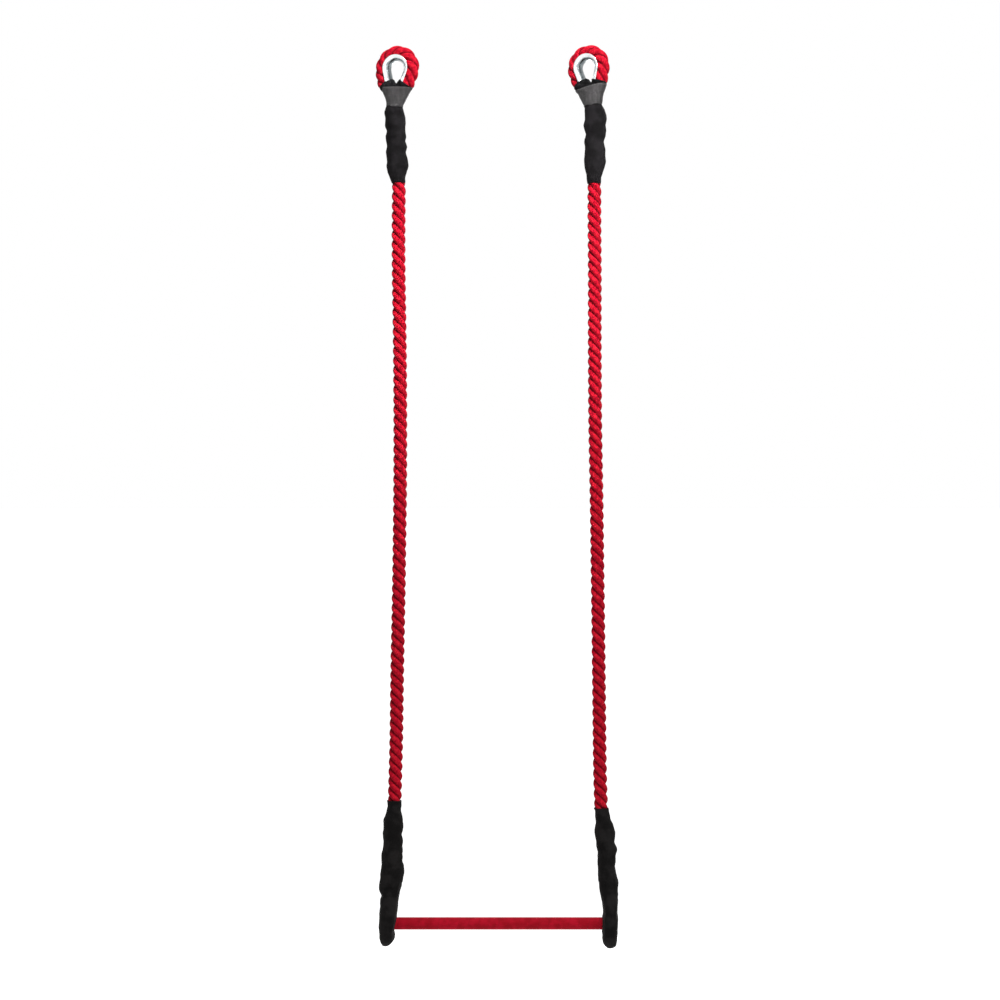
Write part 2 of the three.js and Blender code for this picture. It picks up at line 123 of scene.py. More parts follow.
class Finish:
    """A material under construction."""

    def __init__(self, name, roughness, constants):
        self.material = bpy.data.materials.new(name)
        self.material.use_nodes = True
        self.tree = self.material.node_tree
        self.shader = self.tree.nodes["Principled BSDF"]
        self.shader.inputs["Roughness"].default_value = roughness
        for socket, value in constants.items():
            self.shader.inputs[socket].default_value = value

    def feed(self, socket, value):
        if isinstance(value, Number):
            self.tree.links.new(value.socket, socket)
        else:
            socket.default_value = value

    def node(self, kind, settings, values, output=0):
        made = self.tree.nodes.new(kind)
        for name, value in settings.items():
            setattr(made, name, value)
        for name, value in values.items():
            self.feed(made.inputs[name], value)
        return Number(self, made.outputs[output])

    def place(self):
        """Where on the object the surface is, in metres."""
        return self.node("ShaderNodeTexCoord", {}, {}, "Object")

    def along(self):
        """The piece's own map: round the piece, and along it."""
        return self.node("ShaderNodeUVMap", {"uv_map": "lay"}, {})

    def axis(self, vector, name):
        return self.node("ShaderNodeSeparateXYZ", {}, {0: vector}, name)

    def grain(self, vector, scale, detail=2.0, stretch=(1, 1, 1)):
        """Soft random mottling, about a half on average."""
        mapped = self.node("ShaderNodeMapping", {}, {"Vector": vector, "Scale": stretch})
        values = {"Vector": mapped, "Scale": scale, "Detail": detail}
        return self.node("ShaderNodeTexNoise", {}, values, 0)

    def tint(self, share, plain, other):
        """A colour that goes from plain to other."""
        settings = {"data_type": "RGBA"}
        return self.node("ShaderNodeMix", settings, {0: share, 6: plain, 7: other}, 2)

    def finish(self, colour, height, rise, roughness=None):
        """Connects the colour, and the relief, whose height of one stands rise metres high."""
        self.feed(self.shader.inputs["Base Color"], colour)
        relief = {"Height": height, "Distance": rise, "Strength": 1.0}
        self.feed(self.shader.inputs["Normal"], self.node("ShaderNodeBump", {}, relief))
        if roughness is not None:
            self.feed(self.shader.inputs["Roughness"], roughness)
        return self.material


def rgb(red, green, blue):
    """A colour by its screen values from 0 to 255."""
    shares = [value / 255 for value in (red, green, blue)]
    light = [s / 12.92 if s <= 0.04045 else ((s + 0.055) / 1.055) ** 2.4 for s in shares]
    return (*light, 1)


def rope_finish():
    """Spun cotton yarns that run down each strand, a little fuzzy and worn paler in patches,
    with painted shade between the yarns and in the grooves between the strands.
    """
    made = Finish("rope", 0.92, {"Sheen Weight": 0.08, "Specular IOR Level": 0.12,
                                 "Sheen Tint": rgb(255, 90, 100)})
    lay = made.along()
    across, down = made.axis(lay, "X"), made.axis(lay, "Y")
    yarn = abs(((across + down * 1.22) * (11 * pi)).wave())
    # painted shade: the grooves between the strands are darkened in the colour
    groove = abs(across - 0.5).between(0.3, 0.5)
    place = made.place()
    fuzz = made.grain(place, 900, 4.0)
    patches = made.grain(place, 150, 4.0)
    wear = (patches * 0.8 + fuzz * 0.2).between(0.38, 0.62)
    red = made.tint(wear, rgb(184, 2, 36), rgb(219, 29, 49))
    # painted shade: the hollows between the yarns are darkened in the colour
    painted_shade_between_yarns = (1 - yarn).between(0.55, 1.0) * 0.5
    red = made.tint(painted_shade_between_yarns, red, rgb(138, 1, 24))
    red = made.tint(groove * 0.85, red, rgb(96, 0, 16))
    height = yarn * 0.7 + fuzz * 0.3
    return made.finish(red, height, 0.0005)


red_rope = rope_finish()

strand_radius = 0.0094
strand_reach = 0.0076
strand_columns = 12
steps_per_groove = 8


def strands(grooves, first, radius=strand_radius, reach=strand_reach):
    """A straight laid rope down the Z axis, in steps of one groove to the next: each unit of Z
    is a third of a turn. The first groove faces at the angle given."""
    rope = bmesh.new()
    column = rope.verts.layers.float.new("column")
    row = rope.verts.layers.float.new("row")
    columns = 3 * strand_columns
    ring = bmesh.ops.create_circle(rope, segments=columns, radius=reach)["verts"]
    meet = reach * cos(pi / 3) + sqrt(radius ** 2 - (reach * sin(pi / 3)) ** 2)
    spread = atan2(meet * sin(pi / 3), meet * cos(pi / 3) - reach)
    for place, vert in enumerate(ring):
        strand, step = divmod(place, strand_columns)
        turn = spread * (2 * step / strand_columns - 1)
        point = Vector((reach + radius * cos(turn), radius * sin(turn), 0))
        vert.co = Matrix.Rotation(first + pi / 3 + strand * 2 * pi / 3, 3, "Z") @ point
        vert[column] = place
    steps = round(grooves * steps_per_groove)
    geom = ring + list(rope.edges)
    spun = bmesh.ops.spin(
        rope, geom=geom, axis=(0, 0, 1), cent=(0, 0, 0), steps=steps,
        dvec=(0, 0, -1 / steps_per_groove), angle=steps / steps_per_groove * 2 * pi / 3)
    ends = [e for e in rope.edges if e.is_boundary]
    bmesh.ops.holes_fill(rope, edges=ends, sides=0)
    for vert in rope.verts:
        vert[row] = -vert.co.z
    lay_map(rope, columns, strand_columns, 1)
    return rope


def lay_map(shell, columns, columns_across, width):
    """Gives a tube its own map from its columns and rows, which start again at each strand."""
    uv = shell.loops.layers.uv.new("lay")
    column, row = shell.verts.layers.float["column"], shell.verts.layers.float["row"]
    for face in shell.faces:
        places = [corner.vert[column] for corner in face.loops]
        if len(places) == 4 and max(places) - min(places) > columns / 2:
            places = [place + columns if place < columns / 2 else place for place in places]
        strand = floor(min(places) / columns_across + 1e-6)
        for corner, place in zip(face.loops, places):
            across = (place / columns_across - strand) * width
            corner[uv].uv = (across, corner.vert[row])


def piece(name, mesh, material, slot_name, *nodes):
    """Makes a finished bmesh an object of the scene, smooth, that stands for CAD nodes."""
    bmesh.ops.recalc_face_normals(mesh, faces=mesh.faces)
    data = bpy.data.meshes.new(name)
    mesh.to_mesh(data)
    mesh.free()
    for face in data.polygons:
        face.use_smooth = True
    data.materials.append(material)
    made = bpy.data.objects.new(name, data)
    scene.collection.objects.link(made)
    if nodes:
        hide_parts(*nodes)
    return made


def smoothed(shares, values, span, steps=600):
    """Heights and values along a fine, rounded line through the points given."""
    fine = np.linspace(shares[0], shares[-1], steps)
    line = np.interp(fine, shares, values)
    reach = max(1, round(span / (fine[1] - fine[0])))
    padded = np.pad(line, reach, "reflect", reflect_type="odd")
    return fine, np.convolve(padded, np.ones(2 * reach + 1) / (2 * reach + 1), "valid")


# How far out each rope hangs at each height, and where its grooves face outwards to the left:
# the number of the groove and its height, in millimetres below the tops of the eyes
rope_lines = {
    "left": {
        "out": -1, "exit": 0.239, "top": 286, "mouth": 1773, "end": 1784,
        "hang": [(280, -237.9), (332, -238.1), (392, -238.7), (452, -238.7), (524, -238.3),
                 (596, -236.9), (680, -235.7), (764, -234.9), (848, -234.5), (932, -234.5),
                 (1028, -234.9), (1124, -236.1), (1220, -237.3), (1316, -238.9),
                 (1412, -240.9), (1508, -242.5), (1580, -243.3), (1640, -244.3),
                 (1700, -245.9), (1740, -247.1), (1790, -248.3)],
        "grooves": [(-1.2, 282.8), (0, 310.8), (20, 775.2), (40, 1252.1), (63.5, 1795)],
    },
    "right": {
        "out": 1, "exit": 0.231, "top": 286, "mouth": 1791, "end": 1799,
        "hang": [(280, 231.4), (332, 231.2), (392, 231.4), (452, 232.0), (524, 232.4),
                 (596, 232.2), (680, 232.2), (764, 232.6), (848, 233.0), (932, 234.2),
                 (1028, 236.2), (1124, 237.6), (1220, 238.8), (1316, 240.2), (1412, 241.4),
                 (1508, 242.5), (1580, 243.2), (1640, 243.8), (1700, 244.6), (1740, 245.6),
                 (1800, 248.0)],
        "grooves": [(-1.2, 284.2), (0, 312.9), (20, 777.8), (40, 1258.1), (62, 1794)],
    },
}

for side, line in rope_lines.items():
    drops, reaches = smoothed(*zip(*line["hang"]), 40)
    numbers, heights = zip(*line["grooves"])
    top, bottom = np.interp([line["top"], line["end"]], heights, numbers)
    rope = strands(bottom - top, pi + top * 2 * pi / 3)
    for vert in rope.verts:
        drop = np.interp(top - vert.co.z, numbers, heights)
        inside = min(drop - line["top"], line["end"] - drop)
        vert.co *= np.interp(inside, (0, 5, 12, 20), (0.88, 0.93, 0.955, 1))
        vert.co.x += np.interp(drop, drops, reaches) / 1000
        vert.co.z = -drop / 1000
    name = f"{side}_rope"
    rope = piece(f"{name}_laid", rope, red_rope, "rope", name)
    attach(rope, f"{side}_line")


# Eye ropes: the end of each rope bent round its thimble. The same laid strands, drawn round
# the teardrop that the thimble gives them, with both legs running down into the wrapping.
eyes = {
    "left": {"out": -1, "neck": 0.248, "yaw": radians(-20), "lean": radians(4.7), "rise": 1.2,
             "turn": 1.22, "tight": 21.4, "girth": 1.0, "offset": 0.8, "spread": 2.6,
             "saddle": 0, "sag": 0, "worn": 0.5, "cuts": ((24, -5), (27, -3))},
    "right": {"out": 1, "neck": 0.227, "yaw": radians(-28), "lean": radians(-6.2), "rise": 5,
              "turn": 0.7, "tight": 24, "girth": 0.97, "offset": 0.5, "spread": 0.8,
              "saddle": 3.5, "sag": 0.35, "worn": 0.4, "cuts": ((27, -3), (27, 1.5))},
}
neck_drop = 109
arc = [(37.85 * sin(radians(a)), 18.15 - 37.85 * cos(radians(a))) for a in range(0, 91, 6)]
leg = [(36.9, 26), (35.2, 32), (33.3, 38), (31.8, 43), (30.4, 48), (28.4, 54), (25.6, 60),
       (22, 66), (17.5, 73), (13, 80)]
half = [Vector(point) for point in arc + leg]
outline = [Vector((-p.x, p.y)) for p in reversed(half[1:])] + half
steps = [0] + [(b - a).length for a, b in zip(outline, outline[1:])]
travelled = np.cumsum(steps)
travel, line_x = smoothed(travelled, [p.x for p in outline], 5)
travel, line_drop = smoothed(travelled, [p.y for p in outline], 5)
eye_length = travel[-1]
face_x, face_drop = np.gradient(line_x, travel), np.gradient(line_drop, travel)


def in_eye(eye, across, deep, drop):
    """A point of an eye, given in millimetres in the eye's own upright plane, in its place."""
    height = neck_drop - drop
    height += eye["rise"] * max(0, min(1, height / 60))
    x = across * cos(eye["lean"]) + height * sin(eye["lean"])
    z = height * cos(eye["lean"]) - across * sin(eye["lean"]) - neck_drop
    place = Matrix.Rotation(eye["yaw"], 3, "Z") @ Vector((x, deep, z))
    return (place + Vector((eye["out"] * eye["neck"] * 1000, 0, 0))) / 1000


def round_eye(eye, outwards, deep, along):
    """A point beside the line of the rope round an eye: how far outwards from it and how far
    to the back, and how far along it."""
    x, drop = np.interp(along, travel, line_x), np.interp(along, travel, line_drop)
    right, down = np.interp(along, travel, face_x), np.interp(along, travel, face_drop)
    size = hypot(right, down)
    return in_eye(eye, x + outwards * down / size, deep, drop - outwards * right / size)


def aside(eye, along):
    """How far the rope's left leg swings out from the thimble."""
    return eye["spread"] * np.interp(along, (20, 50, 80), (1, 1, 0))


for side, eye in eyes.items():
    loose = eye_length - 6.5 * 24
    last = 6.5 + loose / eye["tight"]
    rope = strands(last, eye["turn"])
    for vert in rope.verts:
        along = np.interp(-vert.co.z, (0, 6.5, last), (eye_length, loose, 0))
        low = min(along - eye["cuts"][0][0], eye_length - along - eye["cuts"][1][0])
        bound = np.interp(low, (-18, -6, -2, 2.5), (0.5, 0.62, 0.72, 1))
        flat = eye["worn"] * np.interp(along, (110, 165), (1, 0.5))
        flat *= 0.0152 / max(vert.co.xy.length, 0.009) - 1
        girth = 1020 * eye["girth"] * bound * (1 + flat)
        out = eye["offset"] + aside(eye, along) - vert.co.x * girth
        vert.co = round_eye(eye, out, vert.co.y * girth, along)
    rope = piece(f"{side}_eye_rope", rope, red_rope, "rope", f"{side}_rope_eye")
    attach(rope, "heads")


# Thimbles: galvanised steel channels, pressed to a teardrop and left bright, with rolled rims.
# The rope lies in the channel's outside. The face towards the eye's hole has a painted dark
# reflection.
def zinc_finish():
    made = Finish("zinc", 0.2, {"Metallic": 1.0})
    place = made.place()
    spangle = made.grain(place, 160, 2.0)
    scuffs = made.grain(place, 60, 5.0)
    across = made.axis(made.along(), "X")
    # painted dark reflection: a dark band along the channel's face towards the eye's hole, broken up by the
    # random scuffs, and a slanting dark line across that face
    worn = (1 - abs(across - 0.5).between(0.03, 0.17)) * (0.55 + scuffs * 0.6)
    down = made.axis(made.along(), "Y")
    painted_dark_reflection_line = 1 - abs(across - 0.5 + (0.118 - down) * 3.2).between(0.02, 0.06)
    worn = worn.sum("MAXIMUM", worn, painted_dark_reflection_line * down.between(0.071, 0.077)
                    * (1 - down.between(0.1, 0.118)) * 0.8)
    colour = made.tint(spangle.between(0.35, 0.65), rgb(226, 232, 233), rgb(244, 248, 248))
    colour = made.tint(worn, colour, rgb(96, 104, 107))
    rough = 0.14 + scuffs * 0.2
    return made.finish(colour, spangle * 0.5 + scuffs * 0.5, 0.0002, rough)


zinc = zinc_finish()
thimble_section = [(66, 16.9), (44, 16.9), (22, 16.9), (0, 16.9), (-22, 16.9), (-44, 16.9),
                   (-66, 16.9), (-71, 17.4), (-73, 18.6), (-71, 20.0), (-66, 20.6),
                   (-58, 20.3), (-48, 19.9), (-36, 19.9), (-18, 19.9), (0, 19.9), (18, 19.9),
                   (36, 19.9), (48, 19.9), (58, 20.3), (66, 20.6), (71, 20.0), (73, 18.6),
                   (71, 17.4)]
thimble_ends = 22
for side, eye in eyes.items():
    channel = bmesh.new()
    column = channel.verts.layers.float.new("column")
    row = channel.verts.layers.float.new("row")
    sides = len(thimble_section)
    ring = bmesh.ops.create_circle(channel, segments=sides, radius=1)["verts"]
    for place, (vert, (turn, radius)) in enumerate(zip(ring, thimble_section)):
        vert.co = (-radius * cos(radians(turn)), radius * sin(radians(turn)), thimble_ends)
        vert[column] = (place + 21) % sides
    edges = list(channel.edges)
    for along in np.linspace(thimble_ends, eye_length - thimble_ends, 90)[1:]:
        grown = bmesh.ops.extrude_edge_only(channel, edges=edges)["geom"]
        for vert in grown:
            if isinstance(vert, bmesh.types.BMVert):
                vert.co.z = along
                vert[row] = along / 1000
        edges = [e for e in grown if isinstance(e, bmesh.types.BMEdge) and e.is_boundary]
    bmesh.ops.holes_fill(channel, edges=[e for e in channel.edges if e.is_boundary], sides=0)
    lay_map(channel, sides, sides, 1)
    for vert in channel.verts:
        vert.co = round_eye(eye, *vert.co)
    thimble = piece(f"{side}_thimble_channel", channel, zinc, "zinc", f"{side}_thimble")
    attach(thimble, "heads")


# Throat cloths: black cotton cloth wound round the foot of each thimble, like short trouser
# legs round the rope's two legs, cut square to them and joined by a saddle in the middle.
def cloth_finish(name, dark, light, thread, mapped=True):
    """Plain black weave, paler in random patches of dust and lint, and on the raised cells of
    the weave.
    """
    made = Finish(name, 0.9, {"Specular IOR Level": 0.1})
    place = made.place()
    if mapped:
        lay = made.along()
        across, down = made.axis(lay, "X"), made.axis(lay, "Y")
    else:
        across = made.axis(place, "X") + made.axis(place, "Y")
        down = made.axis(place, "Z")
    warp, weft = (across * (pi / thread)).wave(), (down * (pi / thread)).wave()
    weave = warp * weft * 0.5 + 0.5
    dust = made.grain(place, 34, 4.0)
    lint = made.grain(place, 420, 3.0)
    share = dust.between(0.4, 0.66) * 0.7 + weave * 0.2 + lint.between(0.6, 0.8) * 0.25
    colour = made.tint(share, dark, light)
    return made.finish(colour, weave * 0.6 + lint * 0.4, 0.00035, 0.78 + dust * 0.2)


def stadium(mesh, columns, column, row, x, deep, drop, half_width, half_depth, length):
    """A ring of a loft: a round, or two half rounds with flats between, lying level."""
    ring = bmesh.ops.create_circle(mesh, segments=columns, radius=1)["verts"]
    corner = min(half_width, half_depth)
    for place, vert in enumerate(ring):
        turn = place / columns * 2 * pi
        side_x, side_y = cos(turn), sin(turn)
        stretch_x = (half_width - corner) * max(-1, min(1, side_x * 1.6))
        stretch_y = (half_depth - corner) * max(-1, min(1, side_y * 1.6))
        vert.co = (x + side_x * corner + stretch_x, deep + side_y * corner + stretch_y, -drop)
        vert[column] = place
        vert[row] = length
    return list({edge for vert in ring for edge in vert.link_edges})


def loft(rings, columns=72, capped=False):
    """A tube through level rings, each given as x, depth, drop, half width and half depth in
    millimetres, with the tube's own map in metres."""
    mesh = bmesh.new()
    column = mesh.verts.layers.float.new("column")
    row = mesh.verts.layers.float.new("row")
    length, previous, last = 0, None, None
    for ring in rings:
        if last:
            length += hypot(ring[2] - last[2], ring[3] - last[3]) / 1000
        edges = stadium(mesh, columns, column, row, *ring, length)
        if previous:
            bmesh.ops.bridge_loops(mesh, edges=previous + edges)
        previous, last = edges, ring
    if capped:
        bmesh.ops.holes_fill(mesh, edges=[e for e in mesh.edges if e.is_boundary], sides=0)
    width = 2 * pi * max(ring[3] for ring in rings) / 1000
    lay_map(mesh, columns, columns, width)
    return mesh


def remeshed(made, voxel, rounds):
    """Joins a piece's overlapping parts into one skin and smooths it."""
    for kind, settings in (("REMESH", {"mode": "VOXEL", "voxel_size": voxel}),
                           ("SMOOTH", {"factor": 0.5, "iterations": rounds})):
        modifier = made.modifiers.new(kind.lower(), kind)
        for name, value in settings.items():
            setattr(modifier, name, value)
    bpy.context.view_layer.update()
    data = bpy.data.meshes.new_from_object(made.evaluated_get(
        bpy.context.evaluated_depsgraph_get()))
    made.modifiers.clear()
    made.data = data
    for face in data.polygons:
        face.use_smooth = True


throat_black = cloth_finish("throat_cloth", rgb(12, 12, 13), rgb(34, 33, 35), 0.0011, False)
saddle = [(-16, 47), (-10.5, 43), (-6, 49.5), (-1, 57), (1, 57), (6, 49.5), (11, 43.5),
          (16, 47), (15, 78), (-15, 78)]
for side, eye in eyes.items():
    wrap = bmesh.new()
    # the two legs
    (left, left_slope), (right, right_slope) = eye["cuts"]
    for start, step, slope in ((left, 1, left_slope), (eye_length - right, -1, right_slope)):
        edges = None
        for offset, girth in ((3, 0.995), (2, 1), (-2, 0.98), (-6, 0.91), (-10, 0.8), (-16, 0.62)):
            along = start + step * offset
            ring = bmesh.ops.create_circle(wrap, segments=40, radius=1)["verts"]
            for vert in ring:
                out, deep = girth * (-3.6 + vert.co.x * 18.2), girth * vert.co.y * 22
                slant = (out / 20) * slope * step * (offset > 0)
                vert.co = round_eye(eye, out + aside(eye, along), deep, along + slant)
            grown = list({edge for vert in ring for edge in vert.link_edges})
            if edges:
                bmesh.ops.bridge_loops(wrap, edges=edges + grown)
            edges = grown
    # the saddle
    face = [wrap.verts.new((x, -9, drop)) for x, drop in saddle]
    front = wrap.faces.new(face)
    back = bmesh.ops.extrude_face_region(wrap, geom=[front])["geom"]
    for vert in back:
        if isinstance(vert, bmesh.types.BMVert):
            vert.co.y = 9
    block = set(face) | {v for v in back if isinstance(v, bmesh.types.BMVert)}
    for vert in block:
        sag = eye["sag"] * max(0, vert.co.x)
        vert.co = in_eye(eye, vert.co.x + eye["saddle"], vert.co.y, vert.co.z + sag)
    bmesh.ops.holes_fill(wrap, edges=[e for e in wrap.edges if e.is_boundary], sides=0)
    # the throat
    body = loft([(0, 0, 60, 35, 20.5), (0, 0, 66, 34, 20), (0, 0, 74, 30, 19),
                 (0, 0, 82, 24.5, 18.3), (0, 0, 90, 21, 17.8), (0, 0, 98, 18.6, 17.4),
                 (0, 0, 108, 17.6, 17.3)], 48, True)
    for vert in body.verts:
        vert.co = in_eye(eye, vert.co.x * 1, vert.co.y * 1, -vert.co.z)
    joined = bpy.data.meshes.new("throat")
    body.to_mesh(joined)
    body.free()
    wrap.from_mesh(joined)
    cloth = piece(f"{side}_throat_wrap", wrap, throat_black, "cloth", f"{side}_throat_cloth")
    remeshed(cloth, 0.0012, 3)
    cloth.data.materials.clear()
    cloth.data.materials.append(throat_black)
    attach(cloth, "heads")


# Throat tapes: dark grey cloth-backed tape, wound tight over the cloth and the top of the
# sleeve, its edges showing as faint steps, with painted shade down its two sides.
def tape_finish():
    made = Finish("tape", 0.42, {"Coat Weight": 0.03, "Coat Roughness": 0.25,
                                 "Specular IOR Level": 0.12})
    lay = made.along()
    across, down = made.axis(lay, "X"), made.axis(lay, "Y")
    place = made.place()
    step = ((down + across * 0.06) / 0.0165).part()
    edge = step.between(0.0, 0.09) * 1.0
    weave = (across * (pi / 0.0016)).wave() * (down * (pi / 0.0016)).wave()
    creases = made.grain(place, 70, 4.0, (1, 1, 0.35))
    colour = made.tint(creases.between(0.3, 0.7), rgb(64, 63, 63), rgb(82, 80, 81))
    colour = made.tint((1 - edge) * 0.6, colour, rgb(46, 45, 46))
    # painted shade: a dark band down each side of the tape, stronger on the right
    turn = across / 0.25
    right = 1 - abs((turn + 0.44).part() - 0.5).between(0.07, 0.14)
    left = 1 - abs(turn - 0.56).between(0.05, 0.1)
    colour = made.tint(right * 0.5 + left * 0.35, colour, rgb(16, 15, 16))
    height = edge * 0.5 + creases * 0.9 + weave * 0.05
    return made.finish(colour, height, 0.0009, 0.3 + creases * 0.3)


grey_tape = tape_finish()
tape_rings = {
    "left": [(1.8, 0, 64, 38.8, 23.4), (1.8, 0, 64.5, 39.6, 24.2), (1.8, 0, 67, 38.4, 24.2),
             (1.5, 0, 72, 35.4, 23.4), (1.2, 0, 78, 32.2, 21.8), (1.4, 0, 84, 28.9, 20.8),
             (2.0, 0, 90, 25.8, 20.2), (2.0, 0, 96, 23.4, 20), (1.5, 0, 101, 21.8, 20),
             (0, 0, 106, 20.6, 20.1), (0, 0, 109.4, 20.6, 20.6), (0, 0, 109.6, 19.8, 19.8)],
    "right": [(1.2, 0, 65.5, 39, 23.4), (1.2, 0, 66, 39.8, 24.2), (1.2, 0, 69, 38.2, 24.2),
              (1.8, 0, 73, 35.2, 23.4), (1.2, 0, 79, 32.0, 21.8), (0.3, 0, 84, 29.8, 20.8),
              (0, 0, 90, 27.4, 20.2), (0, 0, 96, 25.6, 20), (0, 0, 101, 23.8, 20),
              (0, 0, 106, 21, 20.1), (0, 0, 109.4, 20.9, 20.6), (0, 0, 109.6, 20.1, 19.8)],
}
tape_tilts = {"left": (1.4, -0.8), "right": (3.6, 3.2)}
for side, eye in eyes.items():
    tape = loft(tape_rings[side])
    for vert in tape.verts:
        drop = -vert.co.z
        share = max(0, min(1, (109 - drop) / 47))
        drop -= share * tape_tilts[side][0] * vert.co.x / 40
        drop -= (1 - share) * tape_tilts[side][1] * -vert.co.y / 20
        level = eye["lean"] * min(1, share * 2)
        tilted = dict(eye, lean=level)
        vert.co = in_eye(tilted, vert.co.x, vert.co.y, drop)
    tape = piece(f"{side}_throat_tape_wound", tape, grey_tape, "tape", f"{side}_throat_tape")
    wall = tape.modifiers.new("thickness", "SOLIDIFY")
    wall.thickness, wall.offset = 0.0009, -1
    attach(tape, "heads")


# Upper sleeves: black cotton sleeves drawn over the eye splices, which fill them unevenly,
# and gathered round the free rope at the bottom.
sleeve_black = cloth_finish("sleeve_cloth", rgb(14, 13, 14), rgb(34, 32, 34), 0.0012)
sleeve_edges = {
    "left": ([(97, -266.0), (104, -268.0), (109, -268.8), (121, -273.5), (135, -269.9),
              (154, -271.1), (165, -266.8), (180, -270.7), (202, -265.7), (217, -269.8),
              (241, -265.6), (250, -267.7), (267, -264.3), (279, -259.6), (289, -256.0),
              (291, -255.6)],
             [(97, -230.0), (104, -229.6), (109, -229.0), (121, -225.1), (146, -221.1),
              (164, -222.4), (181, -220.5), (190, -222.5), (204, -217.5), (219, -220.9),
              (236, -216.2), (250, -214.9), (265, -219.3), (279, -222.4), (289, -221.8),
              (291, -222.2)]),
    "right": ([(97, 209.5), (104, 208.6), (116, 207.5), (140, 208.4), (152, 205.1), (174, 210.8),
               (192, 206.4), (206, 209.0), (224, 207.7), (238, 206.4), (256, 207.9),
               (270, 212.1), (282, 212.4), (289, 213.8), (292, 214.2)],
              [(97, 247.0), (104, 249.5), (116, 256.5), (127, 259.4), (140, 261.2), (152, 258.0),
               (164, 260.0), (178, 258.1), (192, 253.9), (210, 257.8), (224, 257.3),
               (240, 259.4), (253, 256.0), (268, 251.4), (279, 247.9), (289, 247.6), (292, 247.0)]),
}


def between_edges(edges, span=3):
    """The middle and half width, at any drop, of an outline given by its two edges."""
    lines = [smoothed(*zip(*edge), span, 400) for edge in edges]

    def at(drop):
        low, high = (np.interp(drop, *line) for line in lines)
        return (low + high) / 2, (high - low) / 2
    return at


def ruffle(vert, centre, amount, scale, seed):
    """Moves a point of cloth in or out by soft random folds, sideways from a middle line."""
    away = Vector((vert.co.x - centre, vert.co.y, 0)).normalized()
    at = Vector((vert.co.x, vert.co.y, vert.co.z * 0.8)) * scale + Vector((seed, 0, 0))
    vert.co += away * amount * noise.fractal(at, 1.0, 2.0, 3)


for side, line in rope_lines.items():
    at = between_edges(sleeve_edges[side])
    bottom = sleeve_edges[side][0][-1][0]
    rings = []
    for drop in np.arange(97, bottom + 0.1, 3):
        x, half_width = at(drop)
        rings.append((x, 0, drop, half_width, half_width))
    x, half_width = at(bottom)
    rings.append((x, 0, bottom + 0.8, half_width - 0.9, half_width - 0.9))
    sleeve = loft(rings)
    for vert in sleeve.verts:
        drop = -vert.co.z
        x, half_width = at(drop)
        free = min(1, max(0, (drop - 112) / 14), max(0, (bottom - 3 - drop) / 14))
        vert.co.z *= 1
        ruffle(vert, x, 1.1 * free, 0.06, 3.7 * line["out"])
        vert.co /= 1000
    name = f"{side}_upper_sleeve"
    sleeve = piece(f"{name}_cloth", sleeve, sleeve_black, "cloth", name)
    wall = sleeve.modifiers.new("thickness", "SOLIDIFY")
    wall.thickness, wall.offset = 0.001, -1
    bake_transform(sleeve, "heads", "splices", start=(0, 0, -0.100), end=(0, 0, -0.136))


# Eye splices: the rope's three strands tucked back into its own standing part, which makes
# it half as thick again. The sleeves hide them.
for side, line in rope_lines.items():
    at = between_edges(sleeve_edges[side])
    splice = strands(6, 0.8)
    for vert in splice.verts:
        drop = 121 + vert.co.z / -6 * 157
        x, half_width = at(drop)
        swell = (half_width - 3.4) / 16.5 * min(1, 0.58 + (drop - 121) / 24)
        vert.co = (vert.co.x * swell + x / 1000, vert.co.y * swell, -drop / 1000)
    name = f"{side}_upper_splice"
    splice = piece(f"{name}_tucks", splice, red_rope, "rope", name)
    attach(splice, "splices")


# Heart strands: a thin undyed cord down the middle of each rope, laid the same way.
def cord_finish(name, dark, light, yarns):
    """Spun cord or twine with a soft halo."""
    made = Finish(name, 0.9, {"Sheen Weight": 0.1, "Specular IOR Level": 0.25})
    lay = made.along()
    yarn = abs(((made.axis(lay, "X") + made.axis(lay, "Y")) * (yarns * pi)).wave())
    lint = made.grain(made.place(), 500, 3.0)
    colour = made.tint(yarn * 0.6 + lint * 0.4, dark, light)
    return made.finish(colour, yarn * 0.7 + lint * 0.3, 0.0003)


undyed = cord_finish("core", rgb(168, 160, 142), rgb(222, 215, 200), 4)
for side, line in rope_lines.items():
    drops, reaches = smoothed(*zip(*line["hang"]), 40)
    core = strands(30, 0, 0.0022, 0.0019)
    for vert in core.verts:
        drop = 292 - vert.co.z / 30 * 1486
        vert.co.x += np.interp(drop, drops, reaches) / 1000
        vert.co.z = -drop / 1000
    name = f"{side}_rope_core"
    core = piece(f"{name}_laid", core, undyed, "core", name)
    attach(core, f"{side}_line")


# Seizings: black waxed twine, wound in close turns round the rope's two legs below the
# thimble's point. The cloth and the tape hide them.
twine = cord_finish("twine", rgb(16, 15, 15), rgb(48, 45, 44), 3)
for side, eye in eyes.items():
    turns = bmesh.new()
    column = turns.verts.layers.float.new("column")
    row = turns.verts.layers.float.new("row")
    ring = bmesh.ops.create_circle(turns, segments=8, radius=0.8)["verts"]
    for place, vert in enumerate(ring):
        vert[column] = place
        vert.co = (16.2 + vert.co.x, 0, -80 + vert.co.y)
    wound = bmesh.ops.spin(
        turns, geom=ring + list(turns.edges), axis=(0, 0, 1), cent=(0, 0, 0),
        dvec=(0, 0, -1.62 / 24), angle=13 * 2 * pi, steps=13 * 24)
    bmesh.ops.holes_fill(turns, edges=[e for e in turns.edges if e.is_boundary], sides=0)
    for vert in turns.verts:
        vert[row] = atan2(vert.co.y, vert.co.x) * 3
        drop = -vert.co.z
        wide = 1 + 0.38 * max(0, (96 - drop) / 16)
        vert.co = in_eye(eye, vert.co.x * wide, vert.co.y, drop)
    lay_map(turns, 8, 8, 1)
    name = f"{side}_throat_seizing"
    turns = piece(f"{name}_turns", turns, twine, "twine", name)
    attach(turns, "heads")


